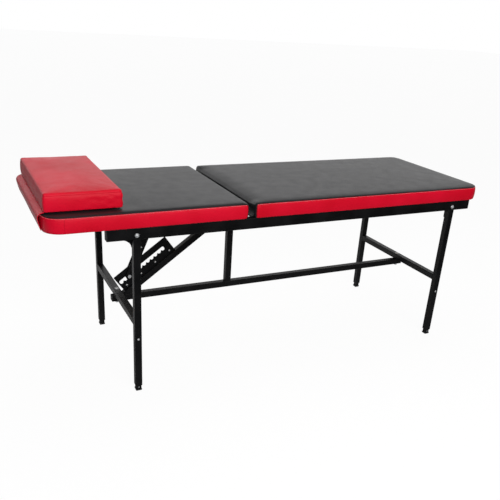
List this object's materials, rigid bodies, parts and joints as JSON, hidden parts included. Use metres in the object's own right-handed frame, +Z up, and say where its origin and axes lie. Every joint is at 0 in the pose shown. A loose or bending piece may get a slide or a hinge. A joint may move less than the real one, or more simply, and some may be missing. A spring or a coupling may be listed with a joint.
{
  "type": "beauty treatment table",
  "caption": "Two-section padded treatment table on a tubular frame, with a raising backrest on a toothed comb and strut, a loose head pillow and extending legs.",
  "frame": {"origin": "on the floor, under the middle of the table's overall box", "axes": "+X towards the foot end, +Y across the table, +Z up"},
  "size_m": [1.8104, 0.6, 0.7572],
  "materials": {
    "satin_black_paint": "satin powder coat",
    "zinc_plate": "bright zinc plate",
    "black_plastic": "moulded, slightly matt",
    "plywood": "bare plywood",
    "foam": "open-cell foam",
    "black_vinyl": "fine-grained upholstery vinyl",
    "red_vinyl": "fine-grained upholstery vinyl"
  },
  "bodies": {
    "base": {"side_rail_right": "satin_black_paint", "side_rail_left": "satin_black_paint", "rail_end_caps": "black_plastic", "cross_tubes": "satin_black_paint", "cross_tube_hinge": "satin_black_paint", "leg_head_right": "satin_black_paint", "leg_head_left": "satin_black_paint", "leg_foot_right": "satin_black_paint", "leg_foot_left": "satin_black_paint", "crossbar_head": "satin_black_paint", "crossbar_foot": "satin_black_paint", "leg_lugs": "satin_black_paint", "leg_bolts": "zinc_plate", "large_nuts": "zinc_plate", "stretcher": "satin_black_paint", "stretcher_plugs": "black_plastic", "stretcher_bolts": "zinc_plate", "centre_post": "satin_black_paint", "diagonal_brace": "satin_black_paint", "comb_tab": "satin_black_paint", "comb_rack": "satin_black_paint", "comb_bolts": "zinc_plate", "comb_nuts": "zinc_plate", "clamp_screws": "zinc_plate", "seat_board": "plywood", "seat_foam": "foam", "seat_top_cover": "black_vinyl", "seat_side_band": "red_vinyl", "seat_screws": "zinc_plate", "hinge_leaves_seat": "zinc_plate", "hinge_pins": "zinc_plate", "hinge_screws_seat": "zinc_plate"},
    "backrest": {"backrest_board": "plywood", "backrest_foam": "foam", "backrest_top_cover": "black_vinyl", "backrest_side_band": "red_vinyl", "hinge_leaves_back": "zinc_plate", "hinge_screws_back": "zinc_plate", "strut_bracket": "satin_black_paint", "bracket_screws": "zinc_plate", "strut_pivot_pin": "zinc_plate"},
    "strut": {"strut_bars": "satin_black_paint", "catch_pin": "zinc_plate", "strut_spacer": "zinc_plate"},
    "pillow": {"pillow_foam": "foam", "pillow_cover": "red_vinyl", "pillow_flap": "red_vinyl"},
    "leg_extension_head_right": {"extension_head_right": "satin_black_paint", "foot_head_right": "black_plastic", "foot_screw_head_right": "zinc_plate"},
    "leg_extension_head_left": {"extension_head_left": "satin_black_paint", "foot_head_left": "black_plastic", "foot_screw_head_left": "zinc_plate"},
    "leg_extension_foot_right": {"extension_foot_right": "satin_black_paint", "foot_foot_right": "black_plastic", "foot_screw_foot_right": "zinc_plate"},
    "leg_extension_foot_left": {"extension_foot_left": "satin_black_paint", "foot_foot_left": "black_plastic", "foot_screw_foot_left": "zinc_plate"}
  },
  "joints": [
    {"name": "backrest_tilt", "type": "hinge", "parent": "base", "child": "backrest", "pos_m": [-0.1838, 0, 0.636], "axis": [0, 1, 0], "range_deg": [0, 27]},
    {"name": "strut_swing", "type": "hinge", "parent": "backrest", "child": "strut", "pos_m": [-0.4398, 0, 0.602], "axis": [0, 1, 0], "range_deg": [-52.5, 0]},
    {"name": "pillow_lift", "type": "slide", "parent": "backrest", "child": "pillow", "axis": [0, 0, 1], "range_m": [0, 0.15]},
    {"name": "extension_slide_head_right", "type": "slide", "parent": "base", "child": "leg_extension_head_right", "axis": [0, 0, -1], "range_m": [0, 0.1]},
    {"name": "extension_slide_head_left", "type": "slide", "parent": "base", "child": "leg_extension_head_left", "axis": [0, 0, -1], "range_m": [0, 0.1]},
    {"name": "extension_slide_foot_right", "type": "slide", "parent": "base", "child": "leg_extension_foot_right", "axis": [0, 0, -1], "range_m": [0, 0.1]},
    {"name": "extension_slide_foot_left", "type": "slide", "parent": "base", "child": "leg_extension_foot_left", "axis": [0, 0, -1], "range_m": [0, 0.1]}
  ],
  "couplings": [
    {"joint": "strut_swing", "follows": "backrest_tilt", "ratio": -1.94}
  ]
}
